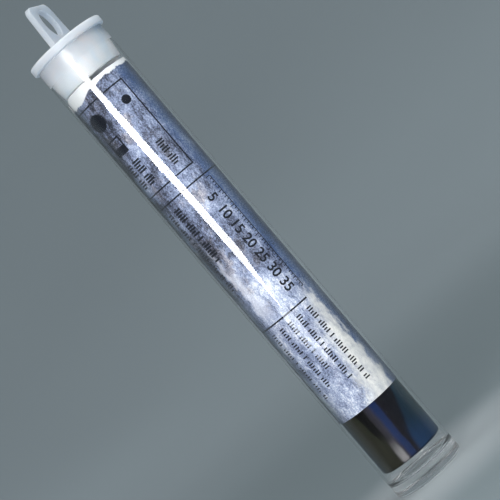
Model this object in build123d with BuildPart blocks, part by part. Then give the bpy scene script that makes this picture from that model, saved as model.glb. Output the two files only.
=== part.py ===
from build123d import *
from math import cos, radians, sin
import os

# Pigment stick: a cast stick of oil paint in a paper wrap, kept in a clear tube with a plug cap.
# Millimetres, +Z up. The origin is the centre of the tube's foot, and the hang loop lies along X.

# Pigment stick: cast with a rounded lower end, and held a little above the tube's floor by its wrap
stick_diameter = 19.2
stick_end_gap = 3.9
stick_round = 0.9
stick_top_break = 0.3

# Tube: clear moulding with a thin wall and a thick base, bored to take the stick in its wrap
stick_bore_gap = 0.55
tube_length = 148.7
tube_wall = 0.55
base_thickness = 3.8
foot_width = 3.2
foot_round = 1.0
floor_break = 0.5
rim_break = 0.15
recess_depth = 0.4
recess_slope = 1.2
gate_diameter = 2.4
gate_lift = 0.2

# Paper wrap: one turn of printed paper, lapped, with a springy free edge that bears on the bore
paper_thickness = 0.15
paper_length = 111.5
paper_top_gap = 11.4
paper_slip = 0.02
paper_over_stick = 0.5
flap_start_angle = 59.0
flap_sweep = 60.0
flap_root = 0.06
flap_wall_gap = 0.02

# Cap: flange, plug and hang loop in one moulding
flange_overhang = 1.1
flange_thickness = 2.3
flange_break = 0.4
flange_seat_gap = 0.05
plug_clearance = 0.05
plug_seal_depth = 4.7
plug_length = 9.8
plug_taper = 0.65
plug_end_break = 0.3
plug_wall = 0.95
plug_roof = 1.25
plug_roof_break = 0.7

# Hang loop: a flat tab that narrows towards its top, with a round eye
loop_height = 12.45
loop_width = 18.1
loop_thickness = 1.7
loop_corner = 2.3
loop_lean = 1.5
loop_edge_break = 0.3
loop_root_round = 0.5
eye_diameter = 8.6
eye_rise = 2.25

# Sizes worked out from the ones above
stick_radius = stick_diameter / 2
bore_radius = stick_radius + stick_bore_gap
tube_radius = bore_radius + tube_wall
recess_radius = tube_radius - foot_width
paper_inner = stick_radius + paper_slip
paper_outer = paper_inner + paper_thickness
paper_top = tube_length - paper_top_gap
paper_bottom = paper_top - paper_length
stick_bottom = base_thickness + stick_end_gap
stick_top = paper_top - paper_over_stick
flange_radius = tube_radius + flange_overhang
flange_underside = tube_length + flange_seat_gap
flange_top = flange_underside + flange_thickness
plug_radius = bore_radius - plug_clearance
plug_end_radius = plug_radius - plug_taper
plug_bottom = tube_length - plug_length
seal_level = tube_length - plug_seal_depth
hollow_top = flange_top - plug_roof
loop_top = flange_top + loop_height
eye_centre = flange_top + eye_rise + eye_diameter / 2

os.makedirs("parts", exist_ok=True)


def polar(radius, angle):
    """The point at this radius and this many degrees from +X, in a sketch on the XY plane."""
    return (radius * cos(radians(angle)), radius * sin(radians(angle)))


# Tube: half its section, turned round the axis
with BuildPart() as tube:
    with BuildSketch(Plane.XZ) as tube_half:
        with BuildLine():
            Polyline(
                (0, gate_lift),
                (gate_diameter / 2, gate_lift),
                (gate_diameter / 2, recess_depth),
                (recess_radius - recess_slope, recess_depth),
                (recess_radius, 0),
                (tube_radius, 0),
                (tube_radius, tube_length),
                (bore_radius, tube_length),
                (bore_radius, base_thickness),
                (0, base_thickness),
                close=True,
            )
        make_face()
        chamfer(tube_half.vertices().group_by(Axis.Y)[-2].sort_by(Axis.X)[-1], length=floor_break)
        fillet(tube_half.vertices().group_by(Axis.Y)[0].sort_by(Axis.X)[-1], radius=foot_round)
        chamfer(tube_half.vertices().group_by(Axis.Y)[-1], length=rim_break)
    revolve(axis=Axis.Z)
tube.part.label = "tube"

# Pigment stick: a cylinder of paint, rounded where the mould's floor was and flat where it was poured
with BuildPart() as pigment_stick:
    with BuildSketch(Plane.XY.offset(stick_bottom)):
        Circle(stick_radius)
    extrude(amount=stick_top - stick_bottom)
    fillet(pigment_stick.edges().group_by(Axis.Z)[0], radius=stick_round)
    chamfer(pigment_stick.edges().group_by(Axis.Z)[-1], length=stick_top_break)
pigment_stick.part.label = "pigment_stick"

# Paper wrap: a ring of paper whose free edge lifts off at the back until it meets the bore
flap_middle_angle = flap_start_angle + flap_sweep / 2
flap_end_angle = flap_start_angle + flap_sweep
flap_root_radius = paper_outer - flap_root
flap_tip_radius = bore_radius - flap_wall_gap - paper_thickness
flap_middle_radius = (flap_root_radius + flap_tip_radius) / 2
with BuildPart() as paper_label:
    with BuildSketch(Plane.XY.offset(paper_bottom)):
        Circle(paper_outer)
        Circle(paper_inner, mode=Mode.SUBTRACT)
        with BuildLine():
            inner_face = ThreePointArc(
                polar(flap_root_radius, flap_start_angle),
                polar(flap_middle_radius, flap_middle_angle),
                polar(flap_tip_radius, flap_end_angle),
            )
            outer_face = ThreePointArc(
                polar(flap_root_radius + paper_thickness / 2, flap_start_angle),
                polar(flap_middle_radius + paper_thickness, flap_middle_angle),
                polar(flap_tip_radius + paper_thickness, flap_end_angle),
            )
            Line(inner_face @ 0, outer_face @ 0)
            Line(inner_face @ 1, outer_face @ 1)
        make_face()
    extrude(amount=paper_length)
paper_label.part.label = "paper_label"

# Cap: flange and hollow tapered plug turned in one, then the loop grown from the flange
with BuildPart() as cap:
    with BuildSketch(Plane.XZ) as cap_half:
        with BuildLine():
            Polyline(
                (0, flange_top),
                (flange_radius, flange_top),
                (flange_radius, flange_underside),
                (plug_radius, flange_underside),
                (plug_radius, seal_level),
                (plug_end_radius, plug_bottom),
                (plug_end_radius - plug_wall, plug_bottom),
                (plug_radius - plug_wall, seal_level),
                (plug_radius - plug_wall, hollow_top),
                (0, hollow_top),
                close=True,
            )
        make_face()
        chamfer(cap_half.vertices().group_by(Axis.Y)[-2].sort_by(Axis.X)[-1], length=plug_roof_break)
        chamfer(cap_half.vertices().group_by(Axis.Y)[0], length=plug_end_break)
        chamfer(cap_half.vertices().group_by(Axis.X)[-1], length=flange_break)
    revolve(axis=Axis.Z)
    with BuildSketch(Plane.XZ) as loop_outline:
        with BuildLine():
            Polyline(
                (-loop_width / 2, flange_top - loop_root_round),
                (loop_width / 2, flange_top - loop_root_round),
                (loop_width / 2 - loop_lean, loop_top),
                (loop_lean - loop_width / 2, loop_top),
                close=True,
            )
        make_face()
        fillet(loop_outline.vertices().group_by(Axis.Y)[-1], radius=loop_corner)
        with Locations((0, eye_centre)):
            Circle(eye_diameter / 2, mode=Mode.SUBTRACT)
    extrude(amount=loop_thickness / 2, both=True)
    loop_sides = cap.faces().filter_by(Axis.Y)
    side_edges = loop_sides.edges().filter_by_position(Axis.Z, flange_top, loop_top, (False, True))
    chamfer(side_edges, length=loop_edge_break)
    flange_face = cap.faces().filter_by(Axis.Z).sort_by(SortBy.AREA)[-1]
    fillet(flange_face.inner_wires().edges(), radius=loop_root_round)
cap.part.label = "cap"

for piece in (tube, pigment_stick, paper_label, cap):
    export_step(piece.part, f"parts/{piece.part.label}.step")
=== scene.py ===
from math import atan2, copysign, cos, degrees, hypot, pi, radians, sin

import bmesh
import bpy
from mathutils import Matrix, Vector


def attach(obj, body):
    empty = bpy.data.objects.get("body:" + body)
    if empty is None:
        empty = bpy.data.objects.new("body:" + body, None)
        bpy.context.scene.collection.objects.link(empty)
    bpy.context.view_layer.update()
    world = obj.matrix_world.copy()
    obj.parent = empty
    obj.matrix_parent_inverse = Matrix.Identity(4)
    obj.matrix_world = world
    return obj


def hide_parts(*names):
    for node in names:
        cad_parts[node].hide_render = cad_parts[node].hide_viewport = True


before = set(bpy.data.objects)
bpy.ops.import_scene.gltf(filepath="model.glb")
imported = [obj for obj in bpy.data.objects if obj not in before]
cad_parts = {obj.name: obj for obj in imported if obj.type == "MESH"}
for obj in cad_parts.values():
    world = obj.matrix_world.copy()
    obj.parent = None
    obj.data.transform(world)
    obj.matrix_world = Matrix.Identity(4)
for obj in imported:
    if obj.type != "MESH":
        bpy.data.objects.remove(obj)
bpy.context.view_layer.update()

# Sizes in millimetres, as in the part's source. The flap starts FLAP_ROOT inside the paper's face and
# turns round a point FLAP_SPREAD off the axis. The loop's root is joined to the flange's top inside
# FLANGE_OPENING.
MM = 0.001
STICK_RADIUS = 9.6
STICK_BOTTOM = 7.7
STICK_TOP = 136.8
BORE_RADIUS = 10.15
TUBE_RADIUS = 10.7
TUBE_LENGTH = 148.7
BASE_THICKNESS = 3.8
RECESS_RADIUS = 7.5
RECESS_SLOPE = 1.2
RECESS_DEPTH = 0.4
GATE_RADIUS = 1.2
GATE_LIFT = 0.2
PAPER_INNER = 9.62
PAPER_OUTER = 9.77
PAPER_BOTTOM = 25.8
PAPER_TOP = 137.3
FLAP_START = 59.0
FLAP_SWEEP = 60.0
FLAP_ROOT = 0.06
FLAP_SPREAD = 0.29
FLANGE_RADIUS = 11.8
FLANGE_UNDERSIDE = 148.75
FLANGE_TOP = 151.05
PLUG_RADIUS = 10.1
SEAL_RADIUS = 10.16
PLUG_END_RADIUS = 9.45
PLUG_WALL = 0.95
PLUG_BOTTOM = 138.9
SEAL_LEVEL = 144.0
HOLLOW_TOP = 149.8
LOOP_FOOT_WIDTH = 17.87
LOOP_TOP_WIDTH = 15.1
LOOP_THICKNESS = 1.7
LOOP_TOP = 163.5
LOOP_CORNER = 2.3
EYE_RADIUS = 4.3
EYE_CENTRE = 157.6
ROOT_ROUND = 0.5
FLANGE_OPENING = 10.4

# Steps in a full turn, in the flap's sweep and in the loop's root
TURN_STEPS = 160
FLAP_STEPS = 30
ROOT_STEPS = 5

# How near two points must be to count as the same place, and the bend, in degrees, that is an edge
SAME_PLACE = 1e-4
SHARP_ANGLE = 40

# The side of the wrap that faces the photograph's camera, in degrees from +X
FRONT = 198.0

# Print on the wrap, laid out flat in millimetres: round the wrap from its front, and height
INK_RADIUS = PAPER_OUTER + 0.02
INK_THICKNESS = 0.015
CUT_SPACING = 0.6
STROKE_PITCH = 0.80
STROKE_GAPS = (6, 11)
RULE_LEFT = -14.0
FRAME_TOP = 133.5
FRAME_BOTTOM = 104.6
FRAME_BAR = 5.4
FRAME_RIGHT = 5.8
RULE_WEIGHT = 0.42
SCALE_TOP = 99.0
SCALE_LENGTH = 38
SCALE_SPINE = 7.0
NUMBERS_AROUND = 3.5
NUMBER_SIZE = 3.9

# Camera: the photograph's place and angle, from the tube's width, height and perspective
HEADING = 72.0
DISTANCE = 0.5128
CAMERA_HEIGHT = 0.08503
YAW = 0.22
PITCH = 0.91
ROLL = 40.44
LENS = 138.0

up = Vector((0, 0, 1))
ahead = Vector((sin(radians(HEADING)), cos(radians(HEADING)), 0))
rightward = ahead.cross(up)


def put(tree, kind, sockets=None, **settings):
    """Adds a shader node. Where sockets gives a socket it is linked, and where a value it is set."""
    node = tree.nodes.new("ShaderNode" + kind)
    for setting, value in settings.items():
        setattr(node, setting, value)
    for name, value in (sockets or {}).items():
        socket = node.inputs[name]
        if isinstance(value, bpy.types.NodeSocket):
            tree.links.new(value, socket)
        else:
            socket.default_value = value
    return node


def new_finish(name):
    """An empty material and its output node."""
    finish = bpy.data.materials.new(name)
    finish.use_nodes = True
    finish.node_tree.nodes.clear()
    output = finish.node_tree.nodes.new("ShaderNodeOutputMaterial")
    return finish, finish.node_tree, output


def places(tree, scale=(1000.0, 1000.0, 1000.0), turn=0.0):
    """Object coordinates in millimetres, stretched by scale and turned round the axis."""
    coordinates = put(tree, "TexCoord").outputs["Object"]
    sockets = {"Vector": coordinates, "Scale": scale, "Rotation": (0, 0, radians(turn))}
    return put(tree, "Mapping", sockets).outputs["Vector"]


def noise(tree, vector, scale, detail=3.0, roughness=0.5, distortion=0.0):
    """Noise from 0 to 1, with scale in patches per millimetre."""
    sockets = {
        "Vector": vector,
        "Scale": scale,
        "Detail": detail,
        "Roughness": roughness,
        "Distortion": distortion,
    }
    return put(tree, "TexNoise", sockets).outputs["Fac"]


def calc(tree, operation, first, second=0.0):
    """One sum on two values or sockets."""
    return put(tree, "Math", {0: first, 1: second}, operation=operation).outputs[0]


def step(tree, value, low, high, low_result=0.0, high_result=1.0):
    """A smooth step of value between low and high."""
    sockets = {
        "Value": value,
        "From Min": low,
        "From Max": high,
        "To Min": low_result,
        "To Max": high_result,
    }
    return put(tree, "MapRange", sockets, interpolation_type="SMOOTHSTEP").outputs["Result"]


def step_line(tree, value, low, high):
    """Value's even share of the way from low to high."""
    return put(tree, "MapRange", {"Value": value, "From Min": low, "From Max": high}).outputs["Result"]


def blended(tree, amount, first, second):
    """A colour between first and second."""
    return put(tree, "Mix", {0: amount, 6: first, 7: second}, data_type="RGBA").outputs[2]


def shaded(tree, amount, colour, tint):
    """A colour multiplied by tint, by this amount."""
    return put(tree, "Mix", {0: amount, 6: colour, 7: tint}, data_type="RGBA", blend_type="MULTIPLY").outputs[2]


def ramp(tree, value, stops):
    """A colour ramp with the stops given as (place, colour)."""
    node = put(tree, "ValToRGB", {"Fac": value})
    elements = node.color_ramp.elements
    elements[0].position, elements[0].color = stops[0]
    elements[1].position, elements[1].color = stops[-1]
    for place, colour in stops[1:-1]:
        elements.new(place).color = colour
    return node.outputs["Color"]


def bumps(tree, height, distance, strength=1.0):
    """A normal from a height field, with the bumps' real depth in metres."""
    return put(tree, "Bump", {"Height": height, "Distance": distance, "Strength": strength}).outputs["Normal"]


def clear_styrene():
    """Clear moulded styrene with faint waves and fine scuffs, duller at the plug's seal and foot."""
    finish, tree, output = new_finish("clear_styrene")
    waves = noise(tree, places(tree, (1000, 1000, 220)), 0.12, 1.0)
    scuffs = noise(tree, places(tree, (1000, 1000, 160)), 3.0, 4.0, 0.65)
    hairlines = step(tree, scuffs, 0.62, 0.72)
    height = put(tree, "SeparateXYZ", {"Vector": places(tree)}).outputs["Z"]
    dull_seal = step(tree, height, 143.8, 146.0, 0.0, 0.24)
    dull_foot = step(tree, height, 5.2, 0.5, 0.0, 0.17)
    dull = calc(tree, "MAXIMUM", dull_seal, dull_foot)
    roughness = calc(tree, "ADD", step(tree, hairlines, 0.0, 1.0, 0.012, 0.06), dull)
    surface = calc(tree, "ADD", waves, calc(tree, "MULTIPLY", hairlines, 0.02))
    plastic = put(
        tree,
        "BsdfPrincipled",
        {
            "Base Color": (0.985, 0.992, 0.995, 1),
            "Roughness": roughness,
            "IOR": 1.56,
            "Transmission Weight": 1.0,
            "Normal": bumps(tree, surface, 0.00002),
        },
    )
    daylight = put(tree, "BsdfTransparent", {"Color": (0.95, 0.96, 0.965, 1)})
    shadow_ray = put(tree, "LightPath").outputs["Is Shadow Ray"]
    mixed = put(tree, "MixShader", {0: shadow_ray, 1: plastic.outputs[0], 2: daylight.outputs[0]})
    tree.links.new(mixed.outputs[0], output.inputs["Surface"])
    return finish


def milky_polyethylene():
    """Soft milky moulding: cloudy, faintly blue and pink, with a satin skin and a hollow made paler by a
    painted glow.
    """
    finish, tree, output = new_finish("milky_polyethylene")
    clouds = noise(tree, places(tree), 0.09, 3.0, 0.55, 0.6)
    tint = ramp(
        tree,
        clouds,
        [
            (0.30, (0.48, 0.64, 0.90, 1)),
            (0.46, (0.60, 0.70, 0.86, 1)),
            (0.58, (0.65, 0.71, 0.84, 1)),
            (0.72, (0.78, 0.70, 0.74, 1)),
        ],
    )
    height = put(tree, "SeparateXYZ", {"Vector": places(tree)}).outputs["Z"]
    tint = blended(tree, step(tree, height, 148.0, 149.4, 0.0, 0.75), tint, (0.700, 0.735, 0.800, 1))
    tint = shaded(tree, step(tree, height, 151.6, 153.5), tint, (0.90, 0.93, 0.97, 1))
    flattened = {0: places(tree, (1000, 1000, 0))}
    across = put(tree, "VectorMath", flattened, operation="LENGTH").outputs["Value"]
    # Painted glow: the hollow's inside is made pale, for light that comes through the milky walls
    hollow = calc(tree, "MULTIPLY", step(tree, across, 9.30, 9.10), step(tree, height, 150.2, 150.0))
    tint = blended(tree, hollow, tint, (0.94, 0.95, 0.96, 1))
    grain = noise(tree, places(tree), 2.2, 4.0, 0.6)
    plastic = put(
        tree,
        "BsdfPrincipled",
        {
            "Base Color": tint,
            "Roughness": step(tree, grain, 0.3, 0.7, 0.30, 0.42),
            "IOR": 1.5,
            "Transmission Weight": step(tree, height, 151.2, 153.0, 0.2, 0.32),
            "Subsurface Weight": 1.0,
            "Subsurface Radius": (0.6, 0.65, 0.7),
            "Subsurface Scale": 0.009,
            "Normal": bumps(tree, grain, 0.00002),
        },
    )
    tree.links.new(plastic.outputs[0], output.inputs["Surface"])
    return finish


def oil_paint():
    """Cast oil paint under its dry skin: deep navy with drags along it, bronzed and teal sides that are partly
    painted reflection, and black wedges and a pale streak of painted reflection.
    """
    finish, tree, output = new_finish("oil_paint")
    parts = put(tree, "SeparateXYZ", {"Vector": places(tree, turn=-FRONT)})
    angle = calc(tree, "ARCTAN2", parts.outputs["Y"], parts.outputs["X"])
    height = parts.outputs["Z"]
    wander = noise(tree, places(tree, (1000, 1000, 300)), 0.35, 4.0, 0.6)
    around = calc(
        tree,
        "ADD",
        calc(tree, "MULTIPLY", angle, STICK_RADIUS),
        calc(tree, "MULTIPLY", calc(tree, "SUBTRACT", wander, 0.5), 1.6),
    )
    # Colour round the stick, partly its own and partly painted reflection: olive on the left, part the
    # pigment's bronzing, and teal on the right
    skin = ramp(
        tree,
        step_line(tree, around, -16.0, 16.0),
        [
            (0.10, (0.010, 0.016, 0.026, 1)),
            (0.22, (0.021, 0.021, 0.014, 1)),
            (0.36, (0.018, 0.018, 0.011, 1)),
            (0.42, (0.015, 0.014, 0.018, 1)),
            (0.455, (0.022, 0.020, 0.030, 1)),
            (0.485, (0.003, 0.014, 0.062, 1)),
            (0.515, (0.004, 0.014, 0.055, 1)),
            (0.545, (0.010, 0.009, 0.020, 1)),
            (0.60, (0.005, 0.018, 0.040, 1)),
            (0.72, (0.006, 0.020, 0.034, 1)),
            (0.90, (0.009, 0.022, 0.025, 1)),
        ],
    )
    # Two black wedges of painted reflection, where the glossy stick would mirror dark surroundings
    low = calc(tree, "MULTIPLY", calc(tree, "SUBTRACT", height, 7.0), 0.12)
    painted_dark_reflection_left = calc(
        tree,
        "MULTIPLY",
        step(tree, calc(tree, "ADD", around, low), -3.9, -3.3),
        step(tree, around, -2.7, -3.1),
    )
    painted_dark_reflection_left = calc(tree, "MULTIPLY", painted_dark_reflection_left, step(tree, height, 14.0, 19.0))
    skin = blended(tree, painted_dark_reflection_left, skin, (0.0006, 0.0006, 0.0008, 1))
    high = calc(tree, "MULTIPLY", calc(tree, "SUBTRACT", height, 9.0), 0.34)
    painted_dark_reflection_right = calc(
        tree,
        "MULTIPLY",
        step(tree, around, 0.7, 1.2),
        step(tree, calc(tree, "SUBTRACT", around, high), 2.2, 0.8),
    )
    skin = blended(tree, calc(tree, "MULTIPLY", painted_dark_reflection_right, 0.92), skin, (0.0030, 0.0028, 0.0045, 1))
    foot_blue = calc(tree, "MULTIPLY", step(tree, around, 1.4, 3.0), step(tree, height, 17.0, 10.0))
    skin = blended(tree, calc(tree, "MULTIPLY", foot_blue, 0.6), skin, (0.008, 0.030, 0.085, 1))
    # A pale streak low on the left: painted reflection of the bright floor
    painted_reflection_streak = calc(tree, "MULTIPLY", step(tree, around, -3.9, -3.0), step(tree, around, -1.3, -2.2))
    painted_reflection_streak = calc(tree, "MULTIPLY", painted_reflection_streak, step(tree, height, 16.0, 9.0, 0.0, 0.66))
    skin = blended(tree, painted_reflection_streak, skin, (0.300, 0.285, 0.285, 1))
    drag = noise(tree, places(tree, (1000, 1000, 60)), 1.6, 5.0, 0.6)
    blotches = noise(tree, places(tree, (1000, 1000, 600)), 0.5, 4.0, 0.6)
    dragged = ramp(tree, drag, [(0.25, (0.45, 0.47, 0.50, 1)), (0.75, (1, 1, 1, 1))])
    colour = shaded(tree, 0.6, skin, dragged)
    surface = calc(tree, "ADD", drag, calc(tree, "MULTIPLY", blotches, 1.5))
    paint = put(
        tree,
        "BsdfPrincipled",
        {
            "Base Color": colour,
            "Roughness": step(tree, blotches, 0.3, 0.7, 0.40, 0.62),
            "Specular IOR Level": 0.05,
            "Normal": bumps(tree, surface, 0.00005),
        },
    )
    tree.links.new(paint.outputs[0], output.inputs["Surface"])
    return finish


def printed_paper():
    """Uncoated paper with a smudged wash of blue, lilac and slate, below a torn bare margin, with painted shade
    and glare.
    """
    finish, tree, output = new_finish("printed_paper")
    place = places(tree, turn=-FRONT)
    parts = put(tree, "SeparateXYZ", {"Vector": place})
    angle = calc(tree, "ARCTAN2", parts.outputs["Y"], parts.outputs["X"])
    height = parts.outputs["Z"]
    ragged = calc(tree, "SUBTRACT", noise(tree, places(tree, (1000, 1000, 600)), 0.4, 5.0, 0.65), 0.5)
    edge = calc(tree, "MULTIPLY", ragged, 7.0)
    around = calc(tree, "ADD", calc(tree, "MULTIPLY", angle, PAPER_OUTER), edge)

    broad = noise(tree, places(tree, (1000, 1000, 480)), 0.13, 3.0, 0.55, 0.5)
    smudges = noise(tree, places(tree, (1000, 1000, 520)), 0.48, 5.0, 0.7, 0.4)
    streaks = noise(tree, places(tree, (1000, 1000, 60)), 1.1, 4.0, 0.6)
    specks = noise(tree, places(tree, (1000, 1000, 800)), 2.6, 3.0, 0.75)
    tone = calc(tree, "SUBTRACT", calc(tree, "MULTIPLY", broad, 0.46), 0.20)
    for layer, share in ((smudges, 0.42), (streaks, 0.10), (specks, 0.42)):
        tone = calc(tree, "ADD", tone, calc(tree, "MULTIPLY", layer, share))
    paler_below = step(tree, height, 76.0, 62.0, 0.0, 0.050)
    paler_below = calc(tree, "ADD", paler_below, step(tree, height, 46.0, 34.0, 0.0, 0.030))
    darker_left = step(tree, around, -1.0, -6.5)
    darker_left = calc(tree, "MULTIPLY", darker_left, step(tree, height, 76.0, 90.0, 0.0, 0.035))
    tone = calc(tree, "SUBTRACT", calc(tree, "ADD", tone, paler_below), darker_left)
    wash = ramp(
        tree,
        tone,
        [
            (0.38, (0.012, 0.015, 0.024, 1)),
            (0.44, (0.052, 0.060, 0.092, 1)),
            (0.49, (0.118, 0.140, 0.212, 1)),
            (0.54, (0.190, 0.225, 0.330, 1)),
            (0.60, (0.325, 0.365, 0.470, 1)),
            (0.67, (0.600, 0.625, 0.680, 1)),
        ],
    )
    soiled = noise(tree, places(tree, (1000, 1000, 600)), 0.2, 5.0, 0.7)
    soiled = calc(tree, "MULTIPLY", step(tree, soiled, 0.50, 0.62), step(tree, around, 5.0, 2.0, 0.0, 0.75))
    soiled = calc(tree, "MULTIPLY", soiled, step(tree, height, 60.0, 72.0, 0.25, 1.0))
    wash = blended(tree, soiled, wash, shaded(tree, 1.0, wash, (0.95, 0.78, 0.62, 1)))

    right_side = step(tree, around, 5.0, 8.2, 0.0, 0.85)
    right_side = calc(tree, "MULTIPLY", right_side, step(tree, around, 22.0, 16.0))
    cloud = calc(tree, "ADD", calc(tree, "MULTIPLY", broad, 0.40), calc(tree, "MULTIPLY", specks, 0.60))
    deep = ramp(
        tree,
        cloud,
        [
            (0.38, (0.012, 0.022, 0.050, 1)),
            (0.46, (0.030, 0.070, 0.185, 1)),
            (0.52, (0.050, 0.085, 0.165, 1)),
            (0.60, (0.165, 0.200, 0.300, 1)),
        ],
    )
    wash = blended(tree, right_side, wash, deep)
    lower = calc(tree, "MULTIPLY", calc(tree, "SUBTRACT", 58.0, height), 0.14)
    cream = calc(
        tree,
        "MULTIPLY",
        step(tree, calc(tree, "ADD", around, lower), 3.0, 7.0),
        step(tree, calc(tree, "SUBTRACT", around, calc(tree, "MULTIPLY", lower, 0.30)), 8.6, 7.0),
    )
    cream = calc(tree, "MULTIPLY", cream, step(tree, calc(tree, "ADD", height, edge), 64.0, 54.0))
    pale = ramp(tree, smudges, [(0.35, (0.400, 0.410, 0.430, 1)), (0.6, (0.640, 0.630, 0.590, 1))])
    wash = blended(tree, calc(tree, "MULTIPLY", cream, 0.88), wash, pale)
    # A pale lilac patch low on the left: painted glare
    lean = calc(tree, "MULTIPLY", calc(tree, "SUBTRACT", 82.0, height), 0.20)
    painted_glare = calc(
        tree,
        "MULTIPLY",
        step(tree, calc(tree, "SUBTRACT", around, lean), -6.6, -8.4),
        step(tree, around, -8.8, -7.6),
    )
    painted_glare = calc(tree, "MULTIPLY", painted_glare, step(tree, height, 58.0, 63.0, 0.0, 0.48))
    wash = blended(tree, painted_glare, wash, (0.560, 0.565, 0.620, 1))
    # Painted shade: the wrap darkens towards its sides as seen from the front, less so at the back
    far_side = calc(tree, "ABSOLUTE", angle)
    painted_shade_flank = step(tree, far_side, 0.72, 1.25)
    painted_shade_flank = calc(tree, "MULTIPLY", painted_shade_flank, step(tree, far_side, 2.5, 1.9, 0.25, 1.0))
    wash = shaded(tree, painted_shade_flank, wash, (0.24, 0.28, 0.30, 1))

    slant = step(tree, around, -2.0, -8.0, 0.0, 1.7)
    margin = calc(tree, "ADD", calc(tree, "ADD", height, slant), calc(tree, "MULTIPLY", ragged, 3.0))
    # The bare paper is one white; its greyer left is painted shade
    bare = ramp(
        tree,
        step(tree, around, -7.0, 0.0),
        [(0.0, (0.46, 0.47, 0.47, 1)), (1.0, (0.62, 0.63, 0.64, 1))],
    )
    colour = blended(tree, step(tree, margin, 136.3, 136.7), wash, bare)
    fibres = noise(tree, place, 3.5, 5.0, 0.6)
    paper = put(
        tree,
        "BsdfPrincipled",
        {
            "Base Color": colour,
            "Roughness": step(tree, fibres, 0.3, 0.7, 0.62, 0.8),
            "Specular IOR Level": 0.2,
            "Normal": bumps(tree, fibres, 0.00002),
        },
    )
    tree.links.new(paper.outputs[0], output.inputs["Surface"])
    return finish


def black_ink():
    """Printed black, a little thin where the paper's fibres show through."""
    finish, tree, output = new_finish("black_ink")
    fibres = noise(tree, places(tree), 4.0, 4.0, 0.65)
    colour = ramp(tree, fibres, [(0.35, (0.002, 0.003, 0.005, 1)), (0.78, (0.016, 0.018, 0.028, 1))])
    ink = put(
        tree,
        "BsdfPrincipled",
        {
            "Base Color": colour,
            "Roughness": step(tree, fibres, 0.3, 0.7, 0.45, 0.62),
            "Specular IOR Level": 0.05,
        },
    )
    tree.links.new(ink.outputs[0], output.inputs["Surface"])
    return finish


def studio_grey():
    """Matt grey of the sweep, with a faint unevenness, a painted pool of light under the tube and painted
    shadow round it.

    In reflections its side by the photograph's camera is nearly black, as a black card there would
    make it, so that the clear tube leaves the paint dark.
    """
    finish, tree, output = new_finish("studio_grey")
    uneven = noise(tree, places(tree, (1, 1, 1)), 2.0, 2.0)
    colour = ramp(tree, uneven, [(0.3, (0.225, 0.262, 0.280, 1)), (0.7, (0.257, 0.300, 0.320, 1))])
    place = put(tree, "TexCoord").outputs["Object"]
    reach = put(tree, "VectorMath", {0: place}, operation="LENGTH").outputs["Value"]
    # Painted shadow round the tube, fading out by 0.6 m, and a painted pool of light right under it
    colour = shaded(tree, step(tree, reach, 0.12, 0.60, 1.0, 0.0), colour, (0.53, 0.565, 0.565, 1))
    colour = blended(tree, step(tree, reach, 0.060, 0.018), colour, (0.240, 0.268, 0.280, 1))
    ray = put(tree, "LightPath").outputs
    straight = calc(tree, "ADD", ray["Transmission Depth"], ray["Diffuse Depth"])
    mirrored = calc(tree, "GREATER_THAN", calc(tree, "SUBTRACT", ray["Ray Depth"], straight), 0.5)
    before = put(tree, "VectorMath", {0: place, 1: -ahead}, operation="DOT_PRODUCT").outputs["Value"]
    card = step(tree, calc(tree, "DIVIDE", before, reach), -0.10, 0.35)
    mirrored = calc(tree, "MULTIPLY", mirrored, card)
    mirrored = calc(tree, "MULTIPLY", mirrored, step(tree, reach, 0.03, 0.06))
    colour = blended(tree, mirrored, colour, (0.02, 0.022, 0.024, 1))
    roughness = step(tree, uneven, 0.3, 0.7, 0.75, 0.85)
    paper = put(tree, "BsdfPrincipled", {"Base Color": colour, "Roughness": roughness})
    tree.links.new(paper.outputs[0], output.inputs["Surface"])
    return finish


def turned(corners, rounds, closed=False):
    """A shape turned round the axis from its half section, with each ring edge in rounds rounded off."""
    shape = bmesh.new()
    line = [shape.verts.new((radius, 0, height)) for radius, height in corners]
    for start, end in zip(line, line[1:]):
        shape.edges.new((start, end))
    if closed:
        shape.edges.new((line[-1], line[0]))
    geometry = shape.verts[:] + shape.edges[:]
    bmesh.ops.spin(
        shape,
        geom=geometry,
        cent=(0, 0, 0),
        axis=(0, 0, 1),
        angle=2 * pi,
        steps=TURN_STEPS,
        use_merge=True,
    )
    bmesh.ops.remove_doubles(shape, verts=shape.verts, dist=SAME_PLACE)
    bmesh.ops.recalc_face_normals(shape, faces=shape.faces)
    for radius, height, size, segments in rounds:
        round_edges(shape, ring_edges(shape, radius, height), size, segments)
    return shape


def ring_edges(shape, radius, height):
    """The edges of the ring at this radius and height."""
    return [
        edge
        for edge in shape.edges
        if all(
            abs(vert.co.z - height) < SAME_PLACE and abs(hypot(vert.co.x, vert.co.y) - radius) < SAME_PLACE
            for vert in edge.verts
        )
    ]


def round_edges(shape, edges, size, segments):
    """Rounds these edges off by this size."""
    bmesh.ops.bevel(
        shape,
        geom=edges,
        offset=size,
        offset_type="OFFSET",
        segments=segments,
        profile=0.5,
        affect="EDGES",
        material=-1,
        clamp_overlap=True,
    )


def into_piece(shape, name, body, finish, node=None):
    """Makes the shape, which is in millimetres, a smooth-shaded piece that rides on its body."""
    bmesh.ops.scale(shape, vec=(MM, MM, MM), verts=shape.verts)
    mesh = bpy.data.meshes.new(name)
    shape.to_mesh(mesh)
    shape.free()
    mesh.materials.append(finish)
    mesh.shade_smooth()
    mesh.set_sharp_from_angle(angle=radians(SHARP_ANGLE))
    piece = bpy.data.objects.new(name, mesh)
    bpy.context.collection.objects.link(piece)
    piece.modifiers.new("even_shading", "WEIGHTED_NORMAL").keep_sharp = True
    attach(piece, body)
    if node:
        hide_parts(node)
    return piece


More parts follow.
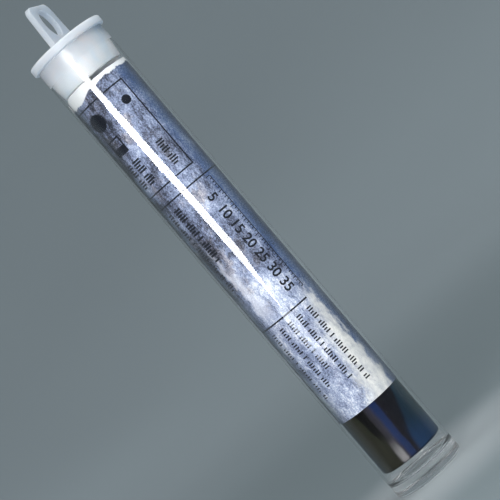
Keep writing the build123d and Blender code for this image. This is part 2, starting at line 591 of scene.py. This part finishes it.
def make_tube():
    """Clear tube with a thick base and a shallow recess under it."""
    corners = [
        (0, GATE_LIFT),
        (GATE_RADIUS, GATE_LIFT),
        (GATE_RADIUS, RECESS_DEPTH),
        (RECESS_RADIUS - RECESS_SLOPE, RECESS_DEPTH),
        (RECESS_RADIUS, 0),
        (TUBE_RADIUS, 0),
        (TUBE_RADIUS, TUBE_LENGTH),
        (BORE_RADIUS, TUBE_LENGTH),
        (BORE_RADIUS, BASE_THICKNESS),
        (0, BASE_THICKNESS),
    ]
    rounds = [
        (TUBE_RADIUS, 0, 1.0, 6),
        (RECESS_RADIUS, 0, 0.3, 3),
        (RECESS_RADIUS - RECESS_SLOPE, RECESS_DEPTH, 0.3, 3),
        (BORE_RADIUS, BASE_THICKNESS, 1.6, 8),
        (TUBE_RADIUS, TUBE_LENGTH, 0.15, 2),
        (BORE_RADIUS, TUBE_LENGTH, 0.15, 2),
    ]
    shape = turned(corners, rounds)
    return into_piece(shape, "tube_clear", "tube", clear_styrene(), "tube")


def make_stick():
    """Cast stick, rounded below and a little dished where it was poured."""
    corners = [
        (0, STICK_BOTTOM),
        (STICK_RADIUS, STICK_BOTTOM),
        (STICK_RADIUS, STICK_TOP),
        (STICK_RADIUS - 1.6, STICK_TOP - 0.25),
        (0, STICK_TOP - 0.5),
    ]
    rounds = [(STICK_RADIUS, STICK_BOTTOM, 0.9, 5), (STICK_RADIUS, STICK_TOP, 0.35, 3)]
    shape = turned(corners, rounds)
    return into_piece(shape, "stick_paint", "tube", oil_paint(), "pigment_stick")


def torn_edge(side):
    """How far the wrap's top edge stands up, this many degrees to the right of its front."""
    side = (side + 180) % 360 - 180
    corner = min(1.0, max(0.0, (side + 78) / 22), max(0.0, (-6 - side) / 12))
    nicks = 0.09 * sin(radians(side * 11)) * sin(radians(side * 3.7))
    return 0.50 + 0.90 * corner * corner * (3 - 2 * corner) - nicks


def make_paper():
    """One turn of paper with its free edge lifted off at the back until it meets the bore."""
    ring = [
        (PAPER_INNER, PAPER_BOTTOM),
        (PAPER_OUTER, PAPER_BOTTOM),
        (PAPER_OUTER, PAPER_TOP),
        (PAPER_INNER, PAPER_TOP),
    ]
    shape = turned(ring, [], closed=True)
    for vert in shape.verts:
        if abs(vert.co.z - PAPER_TOP) < SAME_PLACE:
            vert.co.z += torn_edge(degrees(atan2(vert.co.y, vert.co.x)) - FRONT)
    thickness = PAPER_OUTER - PAPER_INNER
    root = PAPER_OUTER - FLAP_ROOT
    turn = Matrix.Rotation(radians(FLAP_START), 4, "Z")
    lean = Vector((cos(radians(FLAP_START + 90)), sin(radians(FLAP_START + 90)), 0))
    section = [
        shape.verts.new(turn @ Vector((root + out, 0, height)))
        for out, height in (
            (0, PAPER_BOTTOM),
            (thickness, PAPER_BOTTOM),
            (thickness, PAPER_TOP),
            (0, PAPER_TOP),
        )
    ]
    face = shape.faces.new(section)
    bend = Matrix.Rotation(radians(FLAP_SWEEP / FLAP_STEPS), 3, "Z")
    for count in range(FLAP_STEPS):
        swept = bmesh.ops.extrude_face_region(shape, geom=[face])["geom"]
        if count > 0:
            bmesh.ops.delete(shape, geom=[face], context="FACES_ONLY")
        last = [item for item in swept if isinstance(item, bmesh.types.BMVert)]
        bmesh.ops.rotate(shape, verts=last, cent=lean * FLAP_SPREAD, matrix=bend)
        face = next(item for item in swept if isinstance(item, bmesh.types.BMFace))
    bmesh.ops.recalc_face_normals(shape, faces=shape.faces)
    return into_piece(shape, "label_paper", "tube", printed_paper(), "paper_label")


def half_loop():
    """The outline of half the hang loop as one flat face at the front of the tab."""
    shape = bmesh.new()
    front = LOOP_THICKNESS / 2
    outline = [
        (0, FLANGE_TOP + ROOT_ROUND),
        (LOOP_FOOT_WIDTH / 2, FLANGE_TOP + ROOT_ROUND),
        (LOOP_TOP_WIDTH / 2, LOOP_TOP),
        (0, LOOP_TOP),
        (0, EYE_CENTRE + EYE_RADIUS),
        (EYE_RADIUS, EYE_CENTRE + EYE_RADIUS),
        (EYE_RADIUS, EYE_CENTRE - EYE_RADIUS),
        (0, EYE_CENTRE - EYE_RADIUS),
    ]
    verts = [shape.verts.new((x, -front, z)) for x, z in outline]
    shape.faces.new(verts)
    quarter = EYE_RADIUS - 0.01
    corners = ((verts[2], LOOP_CORNER, 10), (verts[5], quarter, 18), (verts[6], quarter, 18))
    for corner, size, segments in corners:
        bmesh.ops.bevel(
            shape,
            geom=[corner],
            offset=size,
            segments=segments,
            profile=0.5,
            affect="VERTICES",
            material=-1,
        )
    return shape


def whole_loop():
    """The hang loop with rounded edges, open where its root spreads into the flange."""
    shape = half_loop()
    thick = bmesh.ops.extrude_face_region(shape, geom=shape.faces[:])
    back = [vert for vert in thick["geom"] if isinstance(vert, bmesh.types.BMVert)]
    bmesh.ops.translate(shape, verts=back, vec=(0, LOOP_THICKNESS, 0))
    root_level = FLANGE_TOP + ROOT_ROUND
    open_sides = [
        face
        for face in shape.faces
        if all(abs(vert.co.x) < SAME_PLACE for vert in face.verts)
        or all(abs(vert.co.z - root_level) < SAME_PLACE for vert in face.verts)
    ]
    bmesh.ops.delete(shape, geom=open_sides, context="FACES")
    geometry = shape.verts[:] + shape.edges[:] + shape.faces[:]
    bmesh.ops.mirror(shape, geom=geometry, axis="X", merge_dist=SAME_PLACE)
    bmesh.ops.remove_doubles(shape, verts=shape.verts, dist=SAME_PLACE)
    bmesh.ops.recalc_face_normals(shape, faces=shape.faces)
    rims = []
    for edge in shape.edges:
        if len(edge.link_faces) == 2:
            one, other = (abs(face.normal.y) for face in edge.link_faces)
            if abs(one - other) > 0.5:
                rims.append(edge)
    round_edges(shape, rims, 0.35, 4)
    root = [edge for edge in shape.edges if edge.is_boundary]
    for count in range(ROOT_STEPS):
        start = radians(90 * count / ROOT_STEPS)
        end = radians(90 * (count + 1) / ROOT_STEPS)
        out = ROOT_ROUND * (cos(start) - cos(end))
        drop = ROOT_ROUND * (sin(end) - sin(start))
        grown = bmesh.ops.extrude_edge_only(shape, edges=root)["geom"]
        for vert in (item for item in grown if isinstance(item, bmesh.types.BMVert)):
            vert.co.z -= drop
            vert.co.y += copysign(out, vert.co.y)
            if abs(vert.co.x) > LOOP_FOOT_WIDTH / 4:
                vert.co.x += copysign(out, vert.co.x)
        root = [item for item in grown if isinstance(item, bmesh.types.BMEdge) and item.is_boundary]
    return shape


def make_cap():
    """Milky cap: flange, hollow tapered plug and hang loop in one moulding."""
    shape = whole_loop()
    corners = [
        (FLANGE_OPENING, FLANGE_TOP),
        (FLANGE_RADIUS, FLANGE_TOP),
        (FLANGE_RADIUS, FLANGE_UNDERSIDE),
        (SEAL_RADIUS, FLANGE_UNDERSIDE),
        (SEAL_RADIUS, SEAL_LEVEL),
        (PLUG_END_RADIUS, PLUG_BOTTOM),
        (PLUG_END_RADIUS - PLUG_WALL, PLUG_BOTTOM),
        (PLUG_RADIUS - PLUG_WALL, SEAL_LEVEL),
        (PLUG_RADIUS - PLUG_WALL, HOLLOW_TOP),
        (0, HOLLOW_TOP),
    ]
    rounds = [
        (FLANGE_RADIUS, FLANGE_TOP, 0.45, 4),
        (FLANGE_RADIUS, FLANGE_UNDERSIDE, 0.35, 3),
        (PLUG_END_RADIUS, PLUG_BOTTOM, 0.3, 3),
        (PLUG_END_RADIUS - PLUG_WALL, PLUG_BOTTOM, 0.25, 3),
        (PLUG_RADIUS - PLUG_WALL, HOLLOW_TOP, 0.7, 5),
    ]
    body = turned(corners, rounds)
    flange = bpy.data.meshes.new("flange_and_plug")
    body.to_mesh(flange)
    body.free()
    shape.from_mesh(flange)
    bpy.data.meshes.remove(flange)
    rims = [edge for edge in shape.edges if edge.is_boundary]
    bmesh.ops.triangle_fill(shape, edges=rims, use_beauty=True, use_dissolve=False, normal=(0, 0, 1))
    bmesh.ops.recalc_face_normals(shape, faces=shape.faces)
    return into_piece(shape, "cap_milky", "cap", milky_polyethylene(), "cap")


def flat_bar(shape, left, right, low, high):
    """A filled rectangle of print."""
    place = Matrix.Translation(((left + right) / 2, (low + high) / 2, 0))
    size = Matrix.Diagonal((right - left, high - low, 1, 1))
    bmesh.ops.create_grid(shape, x_segments=1, y_segments=1, size=0.5, matrix=place @ size)


def flat_number(shape, number, around, height, size):
    """A bold number that reads down the wrap, centred on this place."""
    curve = bpy.data.curves.new("number", "FONT")
    curve.body = str(number)
    curve.size = size
    curve.offset = 0.022 * size
    curve.align_x = "CENTER"
    curve.align_y = "CENTER"
    text = bpy.data.objects.new("number", curve)
    bpy.context.collection.objects.link(text)
    bpy.context.view_layer.update()
    mesh = bpy.data.meshes.new_from_object(text.evaluated_get(bpy.context.evaluated_depsgraph_get()))
    mesh.transform(Matrix.Translation((around, height, 0)) @ Matrix.Rotation(radians(-90), 4, "Z"))
    shape.from_mesh(mesh)
    bpy.data.objects.remove(text)
    bpy.data.curves.remove(curve)
    bpy.data.meshes.remove(mesh)


def flat_disc(shape, around, height, radius):
    """A filled disc of print."""
    place = Matrix.Translation((around, height, 0))
    bmesh.ops.create_circle(shape, cap_ends=True, segments=40, radius=radius, matrix=place)


def stroke_line(shape, around, top, bottom, tall, weight):
    """A line of short plain strokes in groups, where a line of small print would be."""
    height = top
    stroke = 0
    while height > bottom:
        stroke += 1
        if any(stroke % gap == 0 for gap in STROKE_GAPS):
            height -= STROKE_PITCH
        reach = tall if stroke % 3 else tall * 0.7
        flat_bar(shape, around - tall / 2, around - tall / 2 + reach, height - weight, height)
        height -= STROKE_PITCH


def wrapped(shape):
    """Bends flat print round the paper and gives the ink its thickness."""
    bmesh.ops.remove_doubles(shape, verts=shape.verts, dist=SAME_PLACE)
    reach = max(abs(vert.co.x) for vert in shape.verts)
    cuts = int(reach / CUT_SPACING) + 1
    for cut in range(-cuts, cuts + 1):
        geometry = shape.verts[:] + shape.edges[:] + shape.faces[:]
        place = (cut * CUT_SPACING, 0, 0)
        bmesh.ops.bisect_plane(shape, geom=geometry, plane_co=place, plane_no=(1, 0, 0))
    for vert in shape.verts:
        angle = radians(FRONT) + vert.co.x / INK_RADIUS
        vert.co = (INK_RADIUS * cos(angle), INK_RADIUS * sin(angle), vert.co.y)
    shape.normal_update()
    bmesh.ops.solidify(shape, geom=shape.faces[:], thickness=INK_THICKNESS)
    bmesh.ops.recalc_face_normals(shape, faces=shape.faces)
    return shape


def make_rules():
    """Rules that frame the wrap in blocks, three opacity marks, and strokes in small print's place."""
    shape = bmesh.new()
    for height, right, weight in (
        (FRAME_TOP, FRAME_RIGHT, RULE_WEIGHT),
        (FRAME_BOTTOM, FRAME_RIGHT, RULE_WEIGHT),
        (100.4, 13.0, RULE_WEIGHT),
        (58.2, 5.4, 0.46),
    ):
        flat_bar(shape, RULE_LEFT, right, height - weight, height)
    flat_bar(shape, FRAME_BAR, FRAME_RIGHT, FRAME_BOTTOM, FRAME_TOP - RULE_WEIGHT)
    flat_disc(shape, -7.6, 128.2, 2.6)
    for left, right, low, high in (
        (-9.9, -5.3, 117.6, 119.9),
        (-9.9, -5.3, 122.2, 122.7),
        (-9.9, -9.4, 117.7, 122.5),
        (-5.8, -5.3, 117.7, 122.5),
    ):
        flat_bar(shape, left, right, low, high)
    flat_disc(shape, 2.9, 128.2, 1.3)
    for around, top, bottom, tall, weight in (
        (-9.4, 114.6, 107.0, 2.2, 0.46),
        (2.4, 114.6, 107.0, 2.2, 0.46),
        (-6.2, 114.6, 107.0, 2.8, 0.52),
        (-9.6, 97.6, 72.0, 1.7, 0.42),
        (-6.4, 97.6, 80.5, 2.4, 0.54),
        (-9.2, 55.8, 33.5, 1.2, 0.36),
        (-5.6, 55.8, 36.0, 1.4, 0.40),
        (-2.6, 55.8, 40.0, 1.4, 0.40),
        (0.4, 55.8, 35.0, 1.5, 0.42),
        (4.0, 55.8, 31.5, 1.6, 0.42),
    ):
        stroke_line(shape, around, top, bottom, tall, weight)
    return into_piece(wrapped(shape), "label_rules", "tube", black_ink())


def make_scale():
    """A measuring scale down the wrap: a tick each millimetre and a plain number each five."""
    shape = bmesh.new()
    flat_bar(shape, SCALE_SPINE, SCALE_SPINE + 0.26, SCALE_TOP - SCALE_LENGTH, SCALE_TOP)
    for tick in range(SCALE_LENGTH + 1):
        length = 1.5 if tick % 10 == 0 else 1.1 if tick % 5 == 0 else 0.7
        height = SCALE_TOP - tick
        flat_bar(shape, SCALE_SPINE - length, SCALE_SPINE - 0.01, height - 0.11, height + 0.11)
    for number in range(5, SCALE_LENGTH, 5):
        flat_number(shape, number, NUMBERS_AROUND, SCALE_TOP - number, NUMBER_SIZE)
    return into_piece(wrapped(shape), "label_scale", "tube", black_ink())


def make_studio():
    """A grey bowl for floor and backdrop, alike from every side. Its sizes are in metres."""
    shape = bmesh.new()
    outline = [(0, -0.0002), (0.9, -0.0002), (1.4, 0.5), (1.4, 1.5)]
    line = [shape.verts.new((radius, 0, height)) for radius, height in outline]
    for start, end in zip(line, line[1:]):
        shape.edges.new((start, end))
    bmesh.ops.bevel(
        shape,
        geom=[line[1], line[2]],
        offset=0.35,
        segments=10,
        profile=0.5,
        affect="VERTICES",
        material=-1,
    )
    bmesh.ops.spin(
        shape,
        geom=shape.verts[:] + shape.edges[:],
        cent=(0, 0, 0),
        axis=(0, 0, 1),
        angle=2 * pi,
        steps=96,
        use_merge=True,
    )
    bmesh.ops.remove_doubles(shape, verts=shape.verts, dist=1e-6)
    bmesh.ops.recalc_face_normals(shape, faces=shape.faces)
    bmesh.ops.reverse_faces(shape, faces=shape.faces)
    mesh = bpy.data.meshes.new("sweep")
    shape.to_mesh(mesh)
    shape.free()
    mesh.materials.append(studio_grey())
    mesh.shade_smooth()
    sweep = bpy.data.objects.new("sweep", mesh)
    bpy.context.collection.objects.link(sweep)


def make_camera():
    """The camera, with its long lens rolled so that the tube lies across the picture."""
    camera_data = bpy.data.cameras.new("camera")
    camera_data.lens = LENS
    camera_data.sensor_width = 36.0
    camera = bpy.data.objects.new("camera", camera_data)
    level = ahead * cos(radians(YAW)) + rightward * sin(radians(YAW))
    across = level.cross(up)
    look = level * cos(radians(PITCH)) - up * sin(radians(PITCH))
    over = across.cross(look)
    roll = radians(ROLL)
    camera_x = across * cos(roll) - over * sin(roll)
    camera_y = across * sin(roll) + over * cos(roll)
    turn = Matrix((camera_x, camera_y, -look)).transposed().to_4x4()
    place = -ahead * DISTANCE + up * CAMERA_HEIGHT
    camera.matrix_world = Matrix.Translation(place) @ turn
    bpy.context.collection.objects.link(camera)
    bpy.context.scene.camera = camera


def soft_lamp(
    name, azimuth, distance, height, width, length, radiance, colour, aim=(0, 0, 0.08), turn=0.0
):
    """A soft rectangular lamp, in metres and degrees.

    Azimuth is to the right of the camera, seen from the tube. Turn is round the lamp's own axis.
    """
    lamp_data = bpy.data.lights.new(name, "AREA")
    lamp_data.shape = "RECTANGLE"
    lamp_data.size = width
    lamp_data.size_y = length
    lamp_data.energy = radiance * pi * width * length
    lamp_data.color = colour
    lamp = bpy.data.objects.new(name, lamp_data)
    side = radians(azimuth)
    place = -ahead * cos(side) * distance + rightward * sin(side) * distance + up * height
    look = Vector(aim) - place
    lamp.matrix_world = (
        Matrix.Translation(place)
        @ look.to_track_quat("-Z", "Y").to_matrix().to_4x4()
        @ Matrix.Rotation(radians(turn), 4, "Z")
    )
    lamp.visible_camera = False
    bpy.context.collection.objects.link(lamp)


def make_lamps():
    """Two key softboxes that make the long pointed highlight, wide fills and a dim room."""
    white = (1.0, 1.0, 1.0)
    soft_lamp("key_softbox", -14.0, 0.200, 0.1110, 0.066, 0.104, 10.5, white, (0, 0, 0.1110), 25.0)
    soft_lamp("key_upper", -20.6, 0.203, 0.142, 0.044, 0.052, 10.5, white, (0, 0, 0.142))
    soft_lamp("top_panel", 25, 0.8, 1.0, 1.2, 1.2, 1.9, (0.97, 0.99, 1.0))
    soft_lamp("right_panel", 95, 0.7, 0.9, 0.9, 0.9, 2.6, (0.95, 0.98, 1.0))
    soft_lamp("left_panel", -95, 0.7, 0.9, 0.9, 0.9, 1.4, (0.95, 0.98, 1.0))
    soft_lamp("low_fill", -18, 0.5, 0.02, 0.25, 0.06, 1.8, (0.95, 0.97, 1.0))
    world = bpy.data.worlds.new("room")
    world.use_nodes = True
    background = world.node_tree.nodes["Background"]
    background.inputs["Color"].default_value = (0.80, 0.86, 0.90, 1)
    background.inputs["Strength"].default_value = 0.35
    bpy.context.scene.world = world


make_camera()
make_lamps()
make_studio()
make_tube()
make_cap()
make_stick()
make_paper()
make_rules()
make_scale()

bpy.context.scene.view_settings.view_transform = "Standard"
